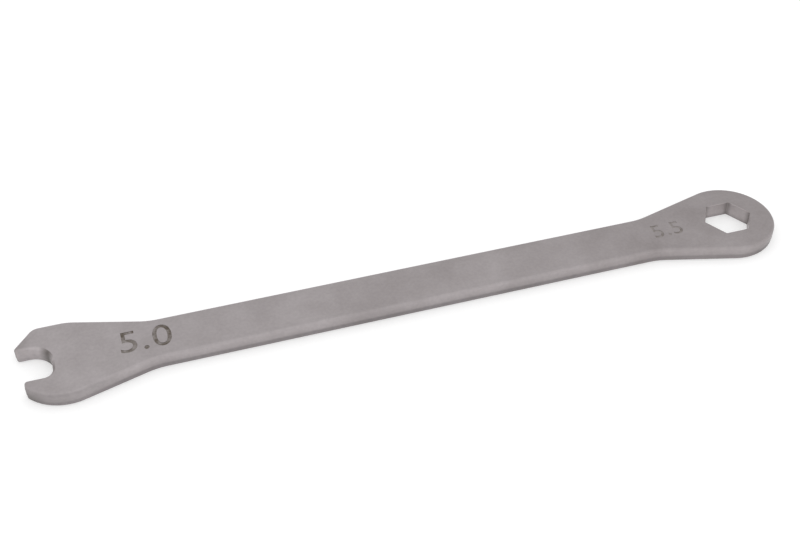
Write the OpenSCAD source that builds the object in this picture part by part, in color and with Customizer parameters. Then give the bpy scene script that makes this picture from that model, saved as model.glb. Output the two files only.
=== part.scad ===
// Flat turnbuckle wrench: an open jaw at one end, a hexagonal ring at the other and a straight shank between,
// blanked from one steel plate whose edge is rolled all the way round, in and out of the jaw.
// It lies flat with its length along X, the ring towards +X and the underside on Z = 0.

/* [Plate] */
// Overall length, from the long jaw's tip to the far side of the ring
length = 96; // [70:1:160]
// Thickness of the plate
thickness = 2.0; // [1.2:0.1:4]
// Width of the straight shank
shank_w = 6.3; // [4:0.1:8]
// Radius where a head's flare runs into the shank
blend_r = 8; // [3:0.5:20]
// Radius of the rolled edge round the outline
edge_r = 0.25; // [0.1:0.05:0.3]

/* [Ring] */
// Outside diameter of the ring
ring_d = 11.9; // [10:0.1:16]
// Angle between the ring's flare and the shank
ring_flare = 15; // [10:0.5:25]
// Size across flats of the nut that the ring turns
nut_af = 5.5; // [4:0.1:7]
// Depth of the bevel that leads into the hexagon
hex_bevel = 0.05; // [0.05:0.05:0.4]

/* [Open jaw] */
// Diameter of the open head
head_d = 11.6; // [10:0.1:16]
// Angle between the open head's flare and the shank
head_flare = 16; // [10:0.5:25]
// Size across the flats that the jaw grips
jaw_af = 5.0; // [4:0.1:6]
// Depth of the slot, from the long jaw's tip to its back
slot_depth = 4.0; // [3.5:0.1:6]
// Radius in the slot's back corner at the long jaw
slot_r = 2.7; // [1:0.1:3]
// Radius in the slot's back corner at the blunt jaw
heel_r = 1.1; // [0.5:0.1:1.5]
// How far the long jaw stands out past the head's circle
jaw_lead = 0.4; // [0.1:0.05:0.5]
// Angle between the long jaw's bevel and the shank
jaw_bevel = 51; // [45:1:58]
// Radius of the long jaw's shoulder, behind its bevel
shoulder_r = 1.5; // [0.8:0.1:2]
// How much shorter the blunt jaw is than the long one
jaw_step = 0.75; // [0.6:0.05:1]
// Radius of the jaws' corners, larger than the rolled edge
tip_r = 0.35; // [0.35:0.05:0.8]

/* [Fit] */
// Play between the wrench and the flats that it grips
grip_clear = 0.05; // [0.02:0.01:0.2]

/* [Hidden] */
$fn = 64;
steel = [0.60, 0.58, 0.58];
// Curves that would only touch cross by this much instead
lap = 0.01;
// Cutters run this far past the plate
past = 1;
half_shank = shank_w / 2;
half_slot = (jaw_af + grip_clear) / 2;
hex_half = (nut_af + grip_clear) / 2;
ring_r = ring_d / 2;
head_r = head_d / 2;
// Depth of the rim along the slot
rim_w = 2 * tip_r - edge_r;
// The long jaw's tip is a round that meets the slot's wall
tip_x = tip_r - length / 2;
tip_y = half_slot + tip_r - lap;
corner_reach = head_r - tip_r + lap;
// Places along the length: the two heads' centres and the back of the slot
head_x = tip_x + jaw_lead + sqrt(pow(corner_reach, 2) - pow(tip_y, 2));
ring_x = length / 2 - ring_r;
slot_x = slot_depth - length / 2;
// The blunt jaw ends in a flat between two rounds, of which the outer one meets the head's circle
blunt_x = tip_x + jaw_step;
blunt_y = sqrt(pow(corner_reach, 2) - pow(head_x - blunt_x, 2));

// The long jaw's bevel touches its tip's round and its shoulder's, which ends level with the head's circle
bevel_out = [-sin(jaw_bevel), cos(jaw_bevel)];
shoulder_y = head_r - shoulder_r;
shoulder_x = tip_x + ((shoulder_y - tip_y) * cos(jaw_bevel) + shoulder_r - tip_r) / sin(jaw_bevel);

// How far a sharp corner, set back behind a hollow one of this radius and turn, lies behind the hollow
function corner_gap(radius, turn) = (radius + tip_r) * (1 / cos(turn / 2) - 1);

// How much of a square corner, set back in the same way, is cut off where two bends take its place
function corner_cut(radius) = (radius + tip_r) * (2 - sqrt(2));

// What the rolled edge takes off a square corner, which lies at the origin with the steel towards -x and +y
module edge_air() {
    difference() {
        translate([-edge_r, -past]) square(edge_r + past);
        translate([lap - edge_r, edge_r - lap]) circle(edge_r);
    }
}

// The same at both faces of the plate, with the steel towards -x
module side_air() {
    edge_air();
    translate([0, thickness]) mirror([0, 1]) edge_air();
}

// Section through the plate at its edge: from x = inner to x = outer, with its outer side rolled
module edge_section(inner, outer) {
    difference() {
        translate([inner, 0]) square([outer - inner, thickness]);
        translate([outer, 0]) side_air();
    }
}

// Sweeps a section along the straight way from a to b, with its x to the left of the way
module sweep(a, b) {
    way = b - a;
    translate([a.x, a.y, 0])
        rotate([0, 0, atan2(way.y, way.x)])
            rotate([90, 0, 90])
                linear_extrude(norm(way)) children();
}

// Plate with a rolled edge round the inside of an arc, deep enough to fill the bends of the corner behind it
module hollow_edge(centre, radius, from, to, bends = 1) {
    outside = radius + rim_w + corner_gap(radius, (to - from) / bends);
    translate([centre.x, centre.y, 0])
        rotate_extrude(angle = to - from, start = from)
            mirror([1, 0]) edge_section(-outside, -radius);
}

// Round plate with a rolled edge
module rolled_disc(radius) {
    rotate_extrude() edge_section(0, radius);
}

// Tapering neck of a head along +X: its flares leave the head's disc and end inside the shank
module neck(radius, flare) {
    along = [cos(flare), -sin(flare)];
    from = (radius - lap) * [sin(flare), cos(flare)] + sqrt(radius * lap) * along;
    to = from + ((from.y - half_shank) / sin(flare) + half_shank) * along;
    difference() {
        linear_extrude(thickness) polygon([from, to, [to.x, -to.y], [from.x, -from.y]]);
        for (side = [0, 1])
            mirror([0, side, 0]) sweep(from - past * along, to + past * along) side_air();
    }
}

// A head with its neck along +X: a disc, the neck, and the blends into the shank
module head(radius, flare) {
    blend_y = half_shank + blend_r - lap;
    blend_x = (radius - 2 * lap + blend_r - blend_y * cos(flare)) / sin(flare);
    rolled_disc(radius);
    neck(radius, flare);
    for (side = [0, 1])
        mirror([0, side, 0]) hollow_edge([blend_x, blend_y], blend_r, 270 - flare, 270);
}

// Straight bar from one head's centre to the other's, its two halves lapping on the axis
module shank() {
    for (side = [0, 1])
        mirror([0, side, 0])
            sweep([head_x, half_shank], [ring_x, half_shank]) edge_section(-half_shank - edge_r, 0);
}

// What the long jaw has outside the head's circle: a level edge, its shoulder and the bevel down to its tip
module long_jaw() {
    along = [-bevel_out.y, bevel_out.x];
    from = [shoulder_x, shoulder_y] + (shoulder_r - lap) * bevel_out + sqrt(shoulder_r * lap) * along;
    to = [tip_x, tip_y] + (tip_r - lap) * bevel_out + tip_r * along;
    sweep([shoulder_x, head_r - lap], [head_x, head_r - lap]) edge_section(-head_r, 0);
    translate([shoulder_x, shoulder_y, 0]) rolled_disc(shoulder_r);
    difference() {
        linear_extrude(thickness) polygon([from, to, [to.x, 0], [head_x, 0], [shoulder_x, shoulder_y]]);
        sweep(to + past * along, from - past * along) side_air();
    }
}

// Room in the open head for the slot and its rim, through the centres of the jaws' rounds
module slot_room() {
    back = slot_x + tip_r;
    long = [tip_x, tip_y];
    blunt = [blunt_x, -blunt_y];
    cut = corner_cut(slot_r);
    heel_cut = corner_cut(heel_r);
    translate([0, 0, -past])
        linear_extrude(thickness + 2 * past)
            polygon([
                long + head_r * bevel_out, long, [back - cut, tip_y], [back, tip_y - cut],
                [back, heel_cut - tip_y], [back - heel_cut, -tip_y],
                [blunt_x, -tip_y], blunt, 2 * blunt - [head_x, 0]
            ]);
}

// Wall of the slot from its back corner, of this radius, to a jaw's round
module slot_wall(radius, end) {
    corner = [slot_x - radius, half_slot - radius];
    hollow_edge(corner, radius, 0, 90, 2);
    sweep([corner.x, half_slot], [end, half_slot]) edge_section(-rim_w, 0);
    translate([end, tip_y, 0]) rolled_disc(tip_r);
}

// Rim of the slot: its back, the long jaw's wall, the blunt jaw's wall and that jaw's flat end
module slot_rim() {
    sweep([slot_x, heel_r - half_slot], [slot_x, half_slot - slot_r]) edge_section(-rim_w, 0);
    slot_wall(slot_r, tip_x);
    mirror([0, 1, 0]) slot_wall(heel_r, blunt_x);
    sweep([blunt_x - tip_r + lap, -blunt_y], [blunt_x - tip_r + lap, -tip_y]) edge_section(-rim_w, 0);
    translate([blunt_x, -blunt_y, 0]) rolled_disc(tip_r);
}

// Bar across the hexagon between two opposite flats, widening at both faces of the plate
module flats_bar() {
    wide = hex_half + hex_bevel + past;
    rotate([90, 0, 0])
        linear_extrude(2 * ring_r, center = true)
            polygon([
                [-wide, -past], [wide, -past], [hex_half, hex_bevel], [hex_half, thickness - hex_bevel],
                [wide, thickness + past], [-wide, thickness + past],
                [-hex_half, thickness - hex_bevel], [-hex_half, hex_bevel]
            ]);
}

// Hexagon with bevelled mouths, two of its corners on the wrench's axis
module hex_cut() {
    intersection_for(turn = [30, 90, 150]) rotate([0, 0, turn]) flats_bar();
}

module wrench_body() {
    color(steel) {
        difference() {
            union() {
                translate([head_x, 0, 0]) head(head_r, head_flare);
                long_jaw();
                shank();
                translate([ring_x, 0, 0]) mirror([1, 0, 0]) head(ring_r, ring_flare);
            }
            slot_room();
            translate([ring_x, 0, 0]) hex_cut();
        }
        slot_rim();
    }
}

wrench_body();
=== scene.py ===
# %% [markdown]
# A turnbuckle wrench is a flat strip of steel, with an open jaw at one end and a hexagonal ring at the
# other. The whole tool is one blank, punched from plate and then tumbled until its edges are rolled and its
# skin is satin grey. So there is one piece to make, and its likeness lies in the edge, the skin and the
# light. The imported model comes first, because it fixes the size and the frame that everything here has to
# keep.

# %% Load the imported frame
import math

import bmesh
import bpy
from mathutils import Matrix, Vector


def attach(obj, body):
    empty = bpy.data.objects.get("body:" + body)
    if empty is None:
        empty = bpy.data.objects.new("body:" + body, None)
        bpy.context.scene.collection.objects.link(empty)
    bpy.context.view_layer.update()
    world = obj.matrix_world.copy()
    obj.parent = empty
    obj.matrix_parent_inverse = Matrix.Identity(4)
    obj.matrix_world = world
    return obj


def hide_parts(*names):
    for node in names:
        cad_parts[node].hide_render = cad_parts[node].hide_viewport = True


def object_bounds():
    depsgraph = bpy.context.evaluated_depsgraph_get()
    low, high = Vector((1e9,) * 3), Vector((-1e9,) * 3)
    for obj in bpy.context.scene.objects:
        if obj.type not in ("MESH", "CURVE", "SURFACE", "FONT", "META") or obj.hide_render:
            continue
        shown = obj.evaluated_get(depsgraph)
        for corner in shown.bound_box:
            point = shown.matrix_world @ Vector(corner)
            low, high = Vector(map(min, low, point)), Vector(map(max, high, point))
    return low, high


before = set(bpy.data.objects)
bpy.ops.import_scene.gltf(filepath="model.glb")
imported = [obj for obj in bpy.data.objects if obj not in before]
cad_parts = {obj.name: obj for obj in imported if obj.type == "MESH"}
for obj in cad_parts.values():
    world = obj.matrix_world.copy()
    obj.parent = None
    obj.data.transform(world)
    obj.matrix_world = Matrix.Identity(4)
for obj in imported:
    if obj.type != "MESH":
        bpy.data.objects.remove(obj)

MM = 0.001
cad_low, cad_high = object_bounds()
print("box in mm:", [round((h - l) / MM, 3) for l, h in zip(cad_low, cad_high)])

# %% [markdown]
# The outline is drawn in millimetres, as on a drawing board, and only the finished mesh is turned into
# metres. Every corner of a punched plate is an arc, and the straights are just what joins one arc to the
# next. So a list of arcs is the whole outline, and one small function that walks along an arc is enough to
# draw it. A Bezier curve drawn by hand would look much the same, but its handles would hide the sizes.

# %% Sizes of the plate, in millimetres and degrees
LENGTH, THICKNESS = 96.0, 2.0
HALF_SHANK, BLEND = 3.15, 8.0
RING_R, RING_FLARE = 5.95, 15.0
HEAD_R, HEAD_FLARE = 5.8, 16.0
HALF_SLOT, SLOT_DEPTH, SLOT_R, HEEL_R = 2.525, 4.0, 2.7, 1.1
TIP_R, JAW_LEAD, JAW_STEP = 0.35, 0.4, 0.75
JAW_BEVEL, SHOULDER_R = 51.0, 1.5

RING_X, SLOT_X = LENGTH / 2 - RING_R, SLOT_DEPTH - LENGTH / 2
TIP_X, TIP_Y = TIP_R - LENGTH / 2, HALF_SLOT + TIP_R
HEAD_X = TIP_X + JAW_LEAD + math.sqrt((HEAD_R - TIP_R) ** 2 - TIP_Y ** 2)
BLUNT_X = TIP_X + JAW_STEP
BLUNT_Y = math.sqrt((HEAD_R - TIP_R) ** 2 - (HEAD_X - BLUNT_X) ** 2)
bevel = math.radians(JAW_BEVEL)
SHOULDER_Y = HEAD_R - SHOULDER_R
SHOULDER_X = TIP_X + ((SHOULDER_Y - TIP_Y) * math.cos(bevel) + SHOULDER_R - TIP_R) / math.sin(bevel)
print("head centre %.3f, ring centre %.3f, back of the slot %.3f" % (HEAD_X, RING_X, SLOT_X))

# %% Walk along an arc
# Degrees from point to point on a large arc and on a small one, and the fewest steps that an arc gets
LARGE_STEP, SMALL_STEP, SMALL_R, FEWEST = 3.0, 7.5, 2.0, 4


def on_circle(x, y, radius, turn):
    """The point at an angle on a circle."""
    angle = math.radians(turn)
    return x + radius * math.cos(angle), y + radius * math.sin(angle)


def arc(x, y, radius, start, end):
    """Points on an arc between two angles, close enough together for a smooth edge."""
    steps = max(FEWEST, math.ceil(abs(end - start) / (LARGE_STEP if radius > SMALL_R else SMALL_STEP)))
    return [on_circle(x, y, radius, start + (end - start) * i / steps) for i in range(steps + 1)]


print("half of the ring:", len(arc(RING_X, 0, RING_R, -90, 90)), "points")


# %% The plate's outline
def blend_x(radius, flare):
    """How far from a head's centre the arc lies that leads its flare into the shank."""
    flare = math.radians(flare)
    return (radius + BLEND - (HALF_SHANK + BLEND) * math.cos(flare)) / math.sin(flare)


def wrench_outline():
    """The plate's edge, counter-clockwise, so that the air is always on the right."""
    blunt_turn = 360 - math.degrees(math.atan2(BLUNT_Y, BLUNT_X - HEAD_X))
    head_blend, ring_blend = HEAD_X + blend_x(HEAD_R, HEAD_FLARE), RING_X - blend_x(RING_R, RING_FLARE)
    blend_y = HALF_SHANK + BLEND
    return (
        arc(RING_X, 0, RING_R, -90 - RING_FLARE, 90 + RING_FLARE)
        + arc(ring_blend, blend_y, BLEND, 270 + RING_FLARE, 270)
        + arc(head_blend, blend_y, BLEND, 270, 270 - HEAD_FLARE)
        + arc(HEAD_X, 0, HEAD_R, 90 - HEAD_FLARE, 90)
        + arc(SHOULDER_X, SHOULDER_Y, SHOULDER_R, 90, 90 + JAW_BEVEL)
        + arc(TIP_X, TIP_Y, TIP_R, 90 + JAW_BEVEL, 270)
        + arc(SLOT_X - SLOT_R, HALF_SLOT - SLOT_R, SLOT_R, 90, 0)
        + arc(SLOT_X - HEEL_R, HEEL_R - HALF_SLOT, HEEL_R, 0, -90)
        + arc(BLUNT_X, -TIP_Y, TIP_R, 90, 180)
        + arc(BLUNT_X, -BLUNT_Y, TIP_R, 180, blunt_turn)[:-1]
        + arc(HEAD_X, 0, HEAD_R, blunt_turn, 270 + HEAD_FLARE)
        + arc(head_blend, -blend_y, BLEND, 90 + HEAD_FLARE, 90)
        + arc(ring_blend, -blend_y, BLEND, 90, 90 - RING_FLARE)
    )


def line_object(name, points, closed):
    """A plain poly curve, for Geometry Nodes to read."""
    curve = bpy.data.curves.new(name, "CURVE")
    curve.dimensions = "3D"
    spline = curve.splines.new("POLY")
    spline.points.add(len(points) - 1)
    for point, (x, y) in zip(spline.points, points):
        point.co = (x, y, 0, 1)
    spline.use_cyclic_u = closed
    thing = bpy.data.objects.new(name, curve)
    bpy.context.scene.collection.objects.link(thing)
    print("line:", name, "with", len(points), "points")
    return thing


outline = line_object("outline", wrench_outline(), True)

# %% [markdown]
# The ring turns a nut, so its hole is a hexagon. A punch cuts it, and a punch that has seen some work
# leaves the corners a little round. Painted shade will lie in those corners and stop short on the flats, and
# a mesh can only hold such a change where it has points. So every flat gets two points more than its shape
# needs.

# %% The hexagon's outline
# Half the hexagon across its flats, its bevel, its corner radius, and how far along a flat the painted corner
# shade reaches
HEX_HALF, HEX_BEVEL, HEX_CORNER, HEX_SHADE_SPAN = 2.775, 0.05, 0.22, 0.45


def hexagon_outline():
    """The hole for the nut, clockwise, so that its air is on the right as well."""
    reach = (HEX_HALF - HEX_CORNER) / math.cos(math.radians(30))
    corners = [arc(*on_circle(RING_X, 0, reach, turn), HEX_CORNER, turn + 30, turn - 30)
               for turn in range(0, -360, -60)]
    points = []
    for corner, following in zip(corners, corners[1:] + corners[:1]):
        (x, y), (to_x, to_y) = corner[-1], following[0]
        share = HEX_SHADE_SPAN / math.hypot(to_x - x, to_y - y)
        points += corner + [(x + (to_x - x) * f, y + (to_y - y) * f) for f in (share, 1 - share)]
    return points


hexagon = line_object("hexagon", hexagon_outline(), True)

# %% [markdown]
# Look closely at the edge of any punched plate and it has zones. The punch first draws the top edge down
# into a round, then shears a smooth upright band, and near the far face the steel tears, which leaves a
# rougher strip that leans in. Tumbling softens all of it. A Bevel modifier could round the edges, but it
# would make both alike. One section drawn once, and swept along the outline, gives every part of the edge
# these zones, in and out of the jaw.

# %% Sections through the edge: x is out into the air, y is down from the top face
ROLL, FOOT_ROLL = 0.32, 0.25
TEAR_Y, TEAR_IN = 1.28, 0.05


def edge_section():
    """From the top face over the rolled edge, down the smooth band and the torn strip to the underside."""
    rolled = [(x, -y) for x, y in arc(-ROLL, -ROLL, ROLL, 90, 0)]
    foot = [(x, -y) for x, y in arc(-TEAR_IN - FOOT_ROLL, FOOT_ROLL - THICKNESS, FOOT_ROLL, 0, -90)]
    return rolled + [(0, TEAR_Y), (-TEAR_IN, TEAR_Y + 2 * TEAR_IN)] + foot


def hexagon_section():
    """The punched hexagon has a small bevel at both faces."""
    return [(-HEX_BEVEL, 0), (0, HEX_BEVEL), (0, THICKNESS - HEX_BEVEL), (-HEX_BEVEL, THICKNESS)]


edge = line_object("edge_section", edge_section(), False)
hexagon_edge = line_object("hexagon_section", hexagon_section(), False)

# %% [markdown]
# The skin of tumbled steel is never one grey. Stones in the tumbler leave a fine dull grain, and handling
# leaves broad faint blotches. Both are noise in the tool's own coordinates, so nothing has to be unwrapped.
# They are kept in a node group, so that the bare steel and the etched figures can each take them at their
# own size. One helper makes every node here, in materials and in Geometry Nodes: it gives the node its
# settings and fills its inputs. A socket is linked, and anything else is set as the input's own value.


# %% Helpers for node trees, and the group that they start
def add(tree, kind, inputs=(), **settings):
    node = tree.nodes.new(kind)
    for name, value in settings.items():
        setattr(node, name, value)
    for key, value in dict(inputs).items():
        if isinstance(value, bpy.types.NodeSocket):
            tree.links.new(value, node.inputs[key])
        else:
            node.inputs[key].default_value = value
    return node


def sockets(tree, way, *rows):
    """Names the inputs or outputs of a tree: (name, kind) or (name, kind, first value)."""
    for name, kind, *first in rows:
        socket = tree.interface.new_socket(name, in_out=way, socket_type="NodeSocket" + kind)
        if first:
            socket.default_value = first[0]


grain = bpy.data.node_groups.new("tumbled_grain", "ShaderNodeTree")
sockets(grain, "INPUT", ("Vector", "Vector"),
        ("Blotch size", "Float", 6.0 * MM), ("Grain size", "Float", 0.4 * MM))
sockets(grain, "OUTPUT", ("Blotch", "Float"), ("Grain", "Float"))
print("group:", grain.name, [item.name for item in grain.interface.items_tree])

# %% Grain and blotches
NOISE_DETAIL, NOISE_ROUGHNESS = {"Blotch": 3.0, "Grain": 2.0}, 0.6


def maths(tree, operation, a, b=0.0):
    return add(tree, "ShaderNodeMath", {0: a, 1: b}, operation=operation).outputs[0]


g_in, g_out = add(grain, "NodeGroupInput").outputs, add(grain, "NodeGroupOutput").inputs
for name, detail in NOISE_DETAIL.items():
    noise = add(grain, "ShaderNodeTexNoise", {
        "Vector": g_in["Vector"], "Scale": maths(grain, "DIVIDE", 1.0, g_in[name + " size"]),
        "Detail": detail, "Roughness": NOISE_ROUGHNESS})
    grain.links.new(noise.outputs["Fac"], g_out[name])
print("group:", grain.name, "with", len(grain.nodes), "nodes")

# %% [markdown]
# Bare steel is a metal, and its grey comes from the material and not from dim light. The blotches go from a
# dull grey to a rubbed one, and the jaw works hardest, so they are rubbed a little more towards it. The
# grain then darkens its pits and lightens what lies between them, by a few hundredths.

# %% The grey of the skin
DULL, RUBBED, RUB = (0.282, 0.255, 0.254, 1), (0.458, 0.425, 0.432, 1), 0.18
# From one depth of the grain to another, and the level at both
PITS = (0.35, 0.65, 0.95, 1.05)


def between(tree, value, first, last, from_level=0.0, to_level=1.0):
    """A level that changes evenly while a value goes from first to last, and stays the same outside them."""
    limits = {"From Min": first, "From Max": last, "To Min": from_level, "To Max": to_level}
    return add(tree, "ShaderNodeMapRange", {"Value": value, **limits}).outputs[0]


def mixed(tree, share, first, second, way="MIX"):
    """The first colour with a share of the second mixed in, or multiplied in."""
    return add(tree, "ShaderNodeMix", {"Factor": share, 6: first, 7: second},
               data_type="RGBA", blend_type=way).outputs[2]


def emptied(owner):
    """The node tree of a material or a world, with nothing in it."""
    owner.use_nodes = True
    owner.node_tree.nodes.clear()
    return owner.node_tree


def skinned(name, sizes=()):
    """A new material, with the tool's own coordinates and the tumbled grain in its tree."""
    material = bpy.data.materials.new(name)
    tree = emptied(material)
    place = add(tree, "ShaderNodeTexCoord").outputs["Object"]
    skin = add(tree, "ShaderNodeGroup", {"Vector": place, **dict(sizes)}, node_tree=grain).outputs
    return material, tree, place, skin


steel, coat, place, skin = skinned("tumbled_steel")
spot = add(coat, "ShaderNodeSeparateXYZ", {0: place}).outputs
rubbed = between(coat, spot["X"], cad_low[0], cad_high[0], RUB, -RUB)
tint = mixed(coat, maths(coat, "ADD", skin["Blotch"], rubbed), DULL, RUBBED)
colour = mixed(coat, 1.0, tint, between(coat, skin["Grain"], *PITS), "MULTIPLY")
print("skin:", steel.name, "with", len(coat.nodes), "nodes so far")

# %% [markdown]
# The zones of the edge differ in tone as well, and that tone is partly painted light. The torn strip at the
# foot is darker, partly from its rough steel and partly as painted shade for the shadowed floor that it
# mirrors. The sheared band above it is brightened as a painted reflection of the bright floor, and the top
# face is plain. The height above the table finds the zones, and an attribute that Geometry Nodes will write
# keeps them to the outer edge. The edge also gets painted shade round the open head and painted light along
# the ring. So there are three sets of tones, mixed by the place along the tool. A sharper edge between them
# would look painted.

# %% The tones of the edge
SHANK_EDGE_SHADING = (0.0, 0.72), (0.33, 0.74), (0.46, 1.04), (0.84, 1.06), (0.93, 1.03), (1.0, 1.0)
RING_EDGE_SHADING = (0.0, 0.84), (0.33, 0.86), (0.46, 1.12), (0.84, 1.13), (0.93, 1.06), (1.0, 1.0)
HEAD_EDGE_SHADING = (0.0, 0.77), (0.24, 0.77), (0.40, 0.97), (0.62, 0.95), (0.88, 0.84), (1.0, 1.0)
# Where one set goes over into another, along the tool in millimetres
RING_START, RING_END, HEAD_START = (19.0, 28.0), (41.5, 45.5), (-36.8, -39.2)


def along(first, last, *levels):
    """A level that changes between two places along the tool, in millimetres."""
    return between(coat, spot["X"], first * MM, last * MM, *levels)


def tones(value, stops):
    """Greys at given places from 0 to 1."""
    ramp = add(coat, "ShaderNodeValToRGB", {"Fac": value})
    for at, level in stops[1:-1]:
        ramp.color_ramp.elements.new(at)
    for element, (at, level) in zip(ramp.color_ramp.elements, stops):
        element.position, element.color = at, (level, level, level, 1)
    return ramp.outputs[0]


def written(name):
    """What Geometry Nodes wrote on the mesh under a name."""
    return add(coat, "ShaderNodeAttribute", attribute_name=name).outputs["Fac"]


# Painted shade and painted light on the outer edge, by height and by place, along with the torn strip's own
# darker steel
height = between(coat, spot["Z"], 0.0, THICKNESS * MM)
at_ring = maths(coat, "MULTIPLY", along(*RING_START), along(*RING_END, 1.0, 0.0))
side_shading = mixed(coat, at_ring, tones(height, SHANK_EDGE_SHADING), tones(height, RING_EDGE_SHADING))
edge_shading = mixed(coat, along(*HEAD_START), side_shading, tones(height, HEAD_EDGE_SHADING))
on_edge = written("outer_edge")
colour = mixed(coat, on_edge, colour, edge_shading, "MULTIPLY")
print("edge:", steel.name, "with", len(coat.nodes), "nodes so far")

# %% [markdown]
# The walls of the hexagon and of the slot are cut and not tumbled, and they get painted light, apart from
# their foot, where they mirror the dim floor in the hole and the slot. Painted shade darkens the ends of the
# jaws below the top edge, the inner corners of the slot and the hexagon, and a faint patch on the long jaw's
# tip. Two more attributes mark the cuts and the corners, because they belong to the shape, and the rest is
# found by its place.

# %% Painted light on the cuts, and painted shade
PAINTED_SHADE = (0.15, 0.136, 0.128, 1)
TIP_SHADE_PLACE = Vector((-47.9, 3.6, 2.0)) * MM
# Where each begins and ends, and its level at both: along the tool, up the edge, up a cut, round the shaded
# tip
JAW_END_SHADE, BELOW_TOP = (-45.0, -47.5, 0.0, 0.8), (0.45, 1.0, 1.0, 0.0)
CUT_LIGHT, TIP_SHADE = (0.10, 0.30, 1.02, 1.29), (0.3 * MM, 1.9 * MM, 0.36, 0.0)

# Painted shade on the outer edge at the jaws' ends, below the top
ends = maths(coat, "MULTIPLY", along(*JAW_END_SHADE), between(coat, height, *BELOW_TOP))
colour = mixed(coat, maths(coat, "MULTIPLY", ends, on_edge), colour, PAINTED_SHADE)
# Painted light on the cut walls of the hexagon and the slot, above their foot
colour = mixed(coat, written("fresh_cut"), colour, between(coat, height, *CUT_LIGHT), "MULTIPLY")
# Painted shade in the inner corners of the slot and the hexagon
colour = mixed(coat, written("nook"), colour, PAINTED_SHADE)
# Painted shade round the long jaw's tip
from_tip_shade = add(coat, "ShaderNodeVectorMath", {0: place, 1: TIP_SHADE_PLACE}, operation="DISTANCE")
colour = mixed(coat, between(coat, from_tip_shade.outputs["Value"], *TIP_SHADE), colour, PAINTED_SHADE)
print("wear:", steel.name, "with", len(coat.nodes), "nodes so far")

# %% [markdown]
# Tumbling gives a wide, soft gloss. The grain makes it a little uneven, and a bump of hundredths of a
# millimetre breaks up what the steel mirrors. The grain is far too fine to be worth real geometry.

# %% Gloss and relief
GLOSS, RELIEF, RELIEF_DEPTH = (0.38, 0.58), 0.7, 0.02 * MM


def metal(tree, inputs):
    """Ends a material's tree in bare metal."""
    surface = add(tree, "ShaderNodeBsdfPrincipled", {"Metallic": 1.0, **inputs})
    add(tree, "ShaderNodeOutputMaterial", {"Surface": surface.outputs[0]})


relief = add(coat, "ShaderNodeBump", {"Height": skin["Grain"], "Strength": RELIEF, "Distance": RELIEF_DEPTH})
metal(coat, {"Base Color": colour, "Roughness": between(coat, skin["Grain"], 0.0, 1.0, *GLOSS),
             "Normal": relief.outputs[0]})
print("finish:", steel.name, "with", len(coat.nodes), "nodes")

# %% [markdown]
# The size figures are etched. The etch stains the steel brown and leaves it rough, and handling rubs it
# bright again in patches, most of all at the ring. It is the same grain as the bare steel's, at a smaller
# size, and the blotches decide where the patches are.

# %% Etched steel
STAIN, RUBBED_STAIN = (0.16, 0.136, 0.114, 1), (0.36, 0.332, 0.322, 1)
ETCH_SIZES = {"Blotch size": 1.0 * MM, "Grain size": 0.3 * MM}
ETCH_WEAR, PATCH, ETCH_GLOSS = (-30.0 * MM, 30.0 * MM, -0.02, 0.12), (0.36, 0.64), (0.6, 0.8)

etched, etch_coat, etch_place, etch_skin = skinned("etched_steel", ETCH_SIZES)
etch_x = add(etch_coat, "ShaderNodeSeparateXYZ", {0: etch_place}).outputs["X"]
worn = maths(etch_coat, "ADD", etch_skin["Blotch"], between(etch_coat, etch_x, *ETCH_WEAR))
metal(etch_coat, {
    "Base Color": mixed(etch_coat, between(etch_coat, worn, *PATCH), STAIN, RUBBED_STAIN),
    "Roughness": between(etch_coat, etch_skin["Grain"], 0.0, 1.0, *ETCH_GLOSS)})
print("finish:", etched.name, "with", len(etch_coat.nodes), "nodes")

# %% [markdown]
# Geometry Nodes can now build the plate by rule. The outline is swept with its section, which makes the
# edge. The same outline, drawn in by the roll and filled, makes the two faces, with the hexagon left out of
# them. Plain mesh code could do this too, but the tree keeps every size as a named input. Nothing is
# random, so there is no seed.

# %% The tree and its inputs
plate = bpy.data.node_groups.new("punched_plate", "GeometryNodeTree")
sockets(plate, "INPUT",
        ("Outline", "Object"), ("Edge section", "Object"),
        ("Hexagon", "Object"), ("Hexagon section", "Object"),
        ("Thickness", "Float"), ("Top roll", "Float"), ("Foot inset", "Float"), ("Bevel", "Float"),
        ("Slot corner", "Vector"), ("Ring centre", "Vector"),
        ("Jaw figure", "String"), ("Jaw figure size", "Float"), ("Jaw figure place", "Vector"),
        ("Ring figure", "String"), ("Ring figure size", "Float"), ("Ring figure place", "Vector"),
        ("Figure spacing", "Float"), ("Etch depth", "Float"), ("Scale", "Float"),
        ("Steel", "Material"), ("Etched", "Material"))
sockets(plate, "OUTPUT", ("Geometry", "Geometry"))
given = add(plate, "NodeGroupInput").outputs
print("tree:", plate.name, "with", len(plate.interface.items_tree) - 1, "inputs")


# %% Curves swept into walls
def upright(curve):
    """A curve with its normals kept level, so that a section swept along it stays upright."""
    return add(plate, "GeometryNodeSetCurveNormal", {"Curve": curve}, mode="Z_UP").outputs[0]


def line_of(name):
    """A helper curve that the tree was given."""
    return add(plate, "GeometryNodeObjectInfo", {"Object": given[name]}).outputs["Geometry"]


def swept(curve, section):
    return add(plate, "GeometryNodeCurveToMesh", {"Curve": curve, "Profile Curve": section}).outputs[0]


outer, hole = upright(line_of("Outline")), upright(line_of("Hexagon"))
edge_walls, hex_walls = swept(outer, line_of("Edge section")), swept(hole, line_of("Hexagon section"))
print("walls:", len(plate.nodes), "nodes so far")

# %% [markdown]
# While the walls are still by themselves, the tree can write on them what the steel has to know: which of
# them are the outer edge, which are cuts that get painted light, and which corners get painted shade. A
# material can't tell these apart by place alone. The slot's walls belong to the outer edge's sweep and are
# found by where they lie, and the corners by their distance from the slot's round corner and from the ring's
# centre.

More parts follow.
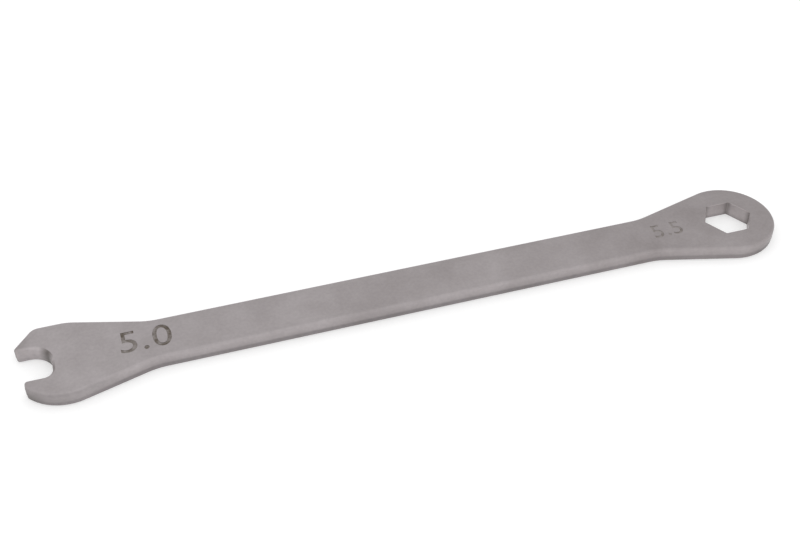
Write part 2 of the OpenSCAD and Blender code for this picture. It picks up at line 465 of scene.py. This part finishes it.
# %% Notes on the walls for the steel
# From one distance to another in millimetres, and the share of painted shade at each
SLOT_NOOK, HEX_NOOK = (0.15, 1.35, 0.95, 0.0), (2.96, 3.14, 0.0, 0.5)
SLOT_FADE, SLOT_CUT_LIGHT, HEX_CUT_LIGHT = (0.03, 0.3), 0.4, 1.0


def noted(mesh, name, value):
    """Writes a value on the corners of every face."""
    return add(plate, "GeometryNodeStoreNamedAttribute", {"Geometry": mesh, "Name": name, "Value": value},
               data_type="FLOAT", domain="CORNER").outputs[0]


def apart(name):
    """How far a point lies from a given one in plan, with both sides of the tool taken as one."""
    away = add(plate, "ShaderNodeVectorMath", {0: in_plan, 1: given[name]}, operation="DISTANCE")
    return away.outputs["Value"]


def inside(value, wall):
    """1 up to a wall of the slot, and 0 from a little way behind it."""
    near, far = SLOT_FADE
    return between(plate, value, wall + near, wall + far, 1.0, 0.0)


point = add(plate, "ShaderNodeSeparateXYZ", {0: add(plate, "GeometryNodeInputPosition").outputs[0]}).outputs
across = maths(plate, "ABSOLUTE", point["Y"])
in_plan = add(plate, "ShaderNodeCombineXYZ", {"X": point["X"], "Y": across}).outputs[0]
in_slot = maths(plate, "MULTIPLY", inside(across, HALF_SLOT), inside(point["X"], SLOT_X))
edge_walls = noted(edge_walls, "outer_edge", maths(plate, "SUBTRACT", 1.0, in_slot))
# The slot's walls are marked for painted light
edge_walls = noted(edge_walls, "fresh_cut", maths(plate, "MULTIPLY", in_slot, SLOT_CUT_LIGHT))
# The slot's round corner is marked for painted shade
edge_walls = noted(edge_walls, "nook", between(plate, apart("Slot corner"), *SLOT_NOOK))
# The hexagon's walls are marked for painted light, and its corners for painted shade
hex_walls = noted(hex_walls, "fresh_cut", HEX_CUT_LIGHT)
hex_walls = noted(hex_walls, "nook", between(plate, apart("Ring centre"), *HEX_NOOK))
print("notes:", len(plate.nodes), "nodes so far")

# %% [markdown]
# An etched figure lies a few hundredths of a millimetre below the face. So the figures' shapes are left out
# of the top face, as the hexagon is, and they get walls and a floor of their own. A bump in the material
# would be less work, but the figures would be lost with the material.


# %% Faces and etched figures
def drawn_in(curve, amount):
    """The curve moved into the steel, away from its air."""
    normal = add(plate, "GeometryNodeInputNormal").outputs[0]
    back = maths(plate, "MULTIPLY", given[amount], -1.0)
    shift = add(plate, "ShaderNodeVectorMath", {0: normal, "Scale": back}, operation="SCALE")
    return add(plate, "GeometryNodeSetPosition", {"Geometry": curve, "Offset": shift.outputs[0]}).outputs[0]


def joined(*parts):
    join = add(plate, "GeometryNodeJoinGeometry")
    for part in parts:
        plate.links.new(part, join.inputs[0])
    return join.outputs[0]


def filled(curve):
    return add(plate, "GeometryNodeFillCurve", {"Curve": curve}, mode="TRIANGLES").outputs[0]


def lifted(mesh, level):
    up = add(plate, "ShaderNodeCombineXYZ", {"Z": level})
    return add(plate, "GeometryNodeTransform", {"Geometry": mesh, "Translation": up.outputs[0]}).outputs[0]


def figure(name):
    """Size figures as flat curves, centred on their place."""
    letters = add(plate, "GeometryNodeStringToCurves", {
        "String": given[name], "Size": given[name + " size"], "Character Spacing": given["Figure spacing"]},
                  align_x="CENTER", align_y="MIDDLE")
    real = add(plate, "GeometryNodeRealizeInstances", {0: letters.outputs[0]})
    return add(plate, "GeometryNodeTransform", {
        "Geometry": real.outputs[0], "Translation": given[name + " place"]}).outputs[0]


thickness, depth = given["Thickness"], given["Etch depth"]
figures = joined(figure("Jaw figure"), figure("Ring figure"))
top = lifted(filled(joined(drawn_in(outer, "Top roll"), drawn_in(hole, "Bevel"), figures)), thickness)
under = filled(joined(drawn_in(outer, "Foot inset"), drawn_in(hole, "Bevel")))
down = add(plate, "ShaderNodeCombineXYZ", {"Y": depth}).outputs[0]
depth_line = add(plate, "GeometryNodeCurvePrimitiveLine", {"End": down}).outputs[0]
etch_walls = lifted(swept(upright(figures), depth_line), thickness)
etch = joined(etch_walls, lifted(filled(figures), maths(plate, "SUBTRACT", thickness, depth)))
print("faces and figures:", len(plate.nodes), "nodes so far")

# %% [markdown]
# The pieces still only touch. Merging the points that coincide closes them into one watertight skin, which
# is then turned into metres, and every face gets its steel.

# %% One closed plate, in metres
# Points closer than this, in millimetres, become one
WELD = 0.0005

marked = add(plate, "GeometryNodeStoreNamedAttribute", {"Geometry": etch, "Name": "etched", "Value": True},
             data_type="BOOLEAN", domain="FACE").outputs[0]
walls = lifted(joined(edge_walls, hex_walls), thickness)
whole = add(plate, "GeometryNodeMergeByDistance", {
    "Geometry": joined(walls, top, under, marked), "Distance": WELD}).outputs[0]
metres = add(plate, "ShaderNodeCombineXYZ", {axis: given["Scale"] for axis in "XYZ"}).outputs[0]
sized = add(plate, "GeometryNodeTransform", {"Geometry": whole, "Scale": metres}).outputs[0]
real = add(plate, "GeometryNodeRealizeInstances", {0: sized}).outputs[0]
bare = add(plate, "GeometryNodeSetMaterial", {"Geometry": real, "Material": given["Steel"]}).outputs[0]
is_etched = add(plate, "GeometryNodeInputNamedAttribute", {"Name": "etched"}, data_type="BOOLEAN").outputs[0]
finished = add(plate, "GeometryNodeSetMaterial", {
    "Geometry": bare, "Selection": is_etched, "Material": given["Etched"]}).outputs[0]
add(plate, "NodeGroupOutput", {0: finished})
print("tree:", plate.name, "with", len(plate.nodes), "nodes")

# %% [markdown]
# The tree is run by a modifier on an empty mesh. Each input is set by its socket's identifier, the result
# is copied out as a plain mesh, and the modifier and the helper curves are thrown away, because only a
# plain mesh looks the same in every program.

# %% Build the wrench
# Where the painted shade is thickest on the slot's round corner, in degrees
NOOK_TURN = 32

wrench = bpy.data.objects.new("wrench", bpy.data.meshes.new("wrench"))
bpy.context.scene.collection.objects.link(wrench)
build = wrench.modifiers.new("punched_plate", "NODES")
build.node_group = plate
names = {item.name: item.identifier for item in plate.interface.items_tree if item.in_out == "INPUT"}
for name, value in {
    "Outline": outline, "Edge section": edge, "Hexagon": hexagon, "Hexagon section": hexagon_edge,
    "Thickness": THICKNESS, "Top roll": ROLL, "Foot inset": TEAR_IN + FOOT_ROLL, "Bevel": HEX_BEVEL,
    "Slot corner": (*on_circle(SLOT_X - SLOT_R, HALF_SLOT - SLOT_R, SLOT_R, NOOK_TURN), 0.0),
    "Ring centre": (RING_X, 0.0, 0.0),
    "Jaw figure": "5.0", "Jaw figure size": 5.0, "Jaw figure place": (-33.3, 0.0, 0.0),
    "Ring figure": "5.5", "Ring figure size": 3.4, "Ring figure place": (33.4, 0.0, 0.0),
    "Figure spacing": 1.06, "Etch depth": 0.03, "Scale": MM, "Steel": steel, "Etched": etched,
}.items():
    build[names[name]] = value

ready = wrench.evaluated_get(bpy.context.evaluated_depsgraph_get())
mesh = bpy.data.meshes.new_from_object(ready)
wrench.modifiers.remove(build)
wrench.data = mesh
for helper in (outline, hexagon, edge, hexagon_edge):
    bpy.data.objects.remove(helper)
print("wrench:", len(mesh.polygons), "faces")

# %% [markdown]
# A swept and filled mesh doesn't know its inside from its outside, so the faces are turned outwards here.
# The flat ones stay flat and the rolled ones are shaded smooth, with a break where two zones meet at a
# clear angle.

# %% Turn the faces out and shade them
FLAT, SHARP = 0.9999, 32

shape = bmesh.new()
shape.from_mesh(mesh)
bmesh.ops.recalc_face_normals(shape, faces=shape.faces)
open_edges = sum(not e.is_manifold for e in shape.edges)
finish_of = [list(mesh.materials)[face.material_index] for face in shape.faces]
mesh.materials.clear()
for material in (steel, etched):
    mesh.materials.append(material)
for face, material in zip(shape.faces, finish_of):
    face.material_index = (steel, etched).index(material)
    face.smooth = abs(face.normal.z) < FLAT
shape.to_mesh(mesh)
volume = shape.calc_volume() / MM ** 3
shape.free()
mesh.set_sharp_from_angle(angle=math.radians(SHARP))
print("wrench: %d open edges, %.1f mm3" % (open_edges, volume), [m.name for m in mesh.materials])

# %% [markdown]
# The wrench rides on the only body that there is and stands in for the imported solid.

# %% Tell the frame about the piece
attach(wrench, "root")
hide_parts("wrench_body")
print("piece:", wrench.name, "for wrench_body")

# %% [markdown]
# The tool lies on white, so the floor is white too. It is an ordinary matt floor that keeps the soft shadow
# under the plate. A little glow that only the eye and the gloss can see lifts it to a clean white, without
# throwing more light on the steel.

# %% Floor
FLOOR_REACH, FLOOR_DROP = 3.0, 0.02 * MM
FLOOR_GREY, FLOOR_GLOW = (0.70, 0.70, 0.70, 1), 0.38


def seen_directly(tree):
    """1 for a ray from the camera, from gloss or through glass, and 0 for the light that fills the scene."""
    ray = add(tree, "ShaderNodeLightPath").outputs
    either = maths(tree, "MAXIMUM", ray["Is Camera Ray"], ray["Is Glossy Ray"])
    return maths(tree, "MAXIMUM", either, ray["Is Transmission Ray"])


floor_mesh = bpy.data.meshes.new("floor")
corners = [(x * FLOOR_REACH, y * FLOOR_REACH, -FLOOR_DROP) for x, y in ((-1, -1), (1, -1), (1, 1), (-1, 1))]
floor_mesh.from_pydata(corners, [], [(0, 1, 2, 3)])
floor = bpy.data.objects.new("floor", floor_mesh)
bpy.context.scene.collection.objects.link(floor)
paper = bpy.data.materials.new("white_floor")
tree = emptied(paper)
matt = add(tree, "ShaderNodeBsdfDiffuse", {"Color": FLOOR_GREY})
glow = add(tree, "ShaderNodeEmission", {"Strength": maths(tree, "MULTIPLY", seen_directly(tree), FLOOR_GLOW)})
both = add(tree, "ShaderNodeAddShader", {0: matt.outputs[0], 1: glow.outputs[0]})
add(tree, "ShaderNodeOutputMaterial", {"Surface": both.outputs[0]})
floor_mesh.materials.append(paper)
print("floor:", floor.name, "in", paper.name)

# %% [markdown]
# Metal is only as good as what it mirrors. The flat face mirrors the far side of the room, and the edge
# that is rolled towards the viewer mirrors the ceiling and the near side. So the room is a soft white one
# that is a little dimmer at the back, and the edge comes out as a light band along the grey face. It needs
# no lamp.

# %% The room
# From straight up or sideways to the far side, and the light there
ROOM = (0.0, 0.8, 1.06, 0.9)

world = bpy.data.worlds.new("soft_room")
bpy.context.scene.world = world
tree = emptied(world)
way = add(tree, "ShaderNodeSeparateXYZ", {0: add(tree, "ShaderNodeTexCoord").outputs["Generated"]}).outputs
light = between(tree, way["Y"], *ROOM)
ray = add(tree, "ShaderNodeLightPath").outputs["Is Camera Ray"]
strength = add(tree, "ShaderNodeMix", {"Factor": ray, 2: light, 3: 1.0}, data_type="FLOAT")
sky = add(tree, "ShaderNodeBackground", {"Color": (1, 1, 1, 1), "Strength": strength.outputs[0]})
add(tree, "ShaderNodeOutputWorld", {"Surface": sky.outputs[0]})
print("world:", world.name)

# %% [markdown]
# The camera stands where the picture was taken from: in front and to the left, about as high as it is far
# away, close enough that the near end of the tool looks larger than the far one.

# %% Camera
EYE, AIM = Vector((-34.27, -102.56, 100.62)) * MM, Vector((-0.82, 5.22, 0.0)) * MM

camera_data = bpy.data.cameras.new("camera")
camera_data.sensor_width, camera_data.lens = 36.0, 54.0
camera_data.clip_start = MM
camera = bpy.data.objects.new("camera", camera_data)
bpy.context.scene.collection.objects.link(camera)
camera.location = EYE
camera.rotation_euler = (AIM - EYE).to_track_quat("-Z", "Y").to_euler()
bpy.context.scene.camera = camera
bpy.context.scene.view_settings.view_transform = "Standard"
print("camera %.0f mm from its aim" % ((AIM - EYE).length / MM))
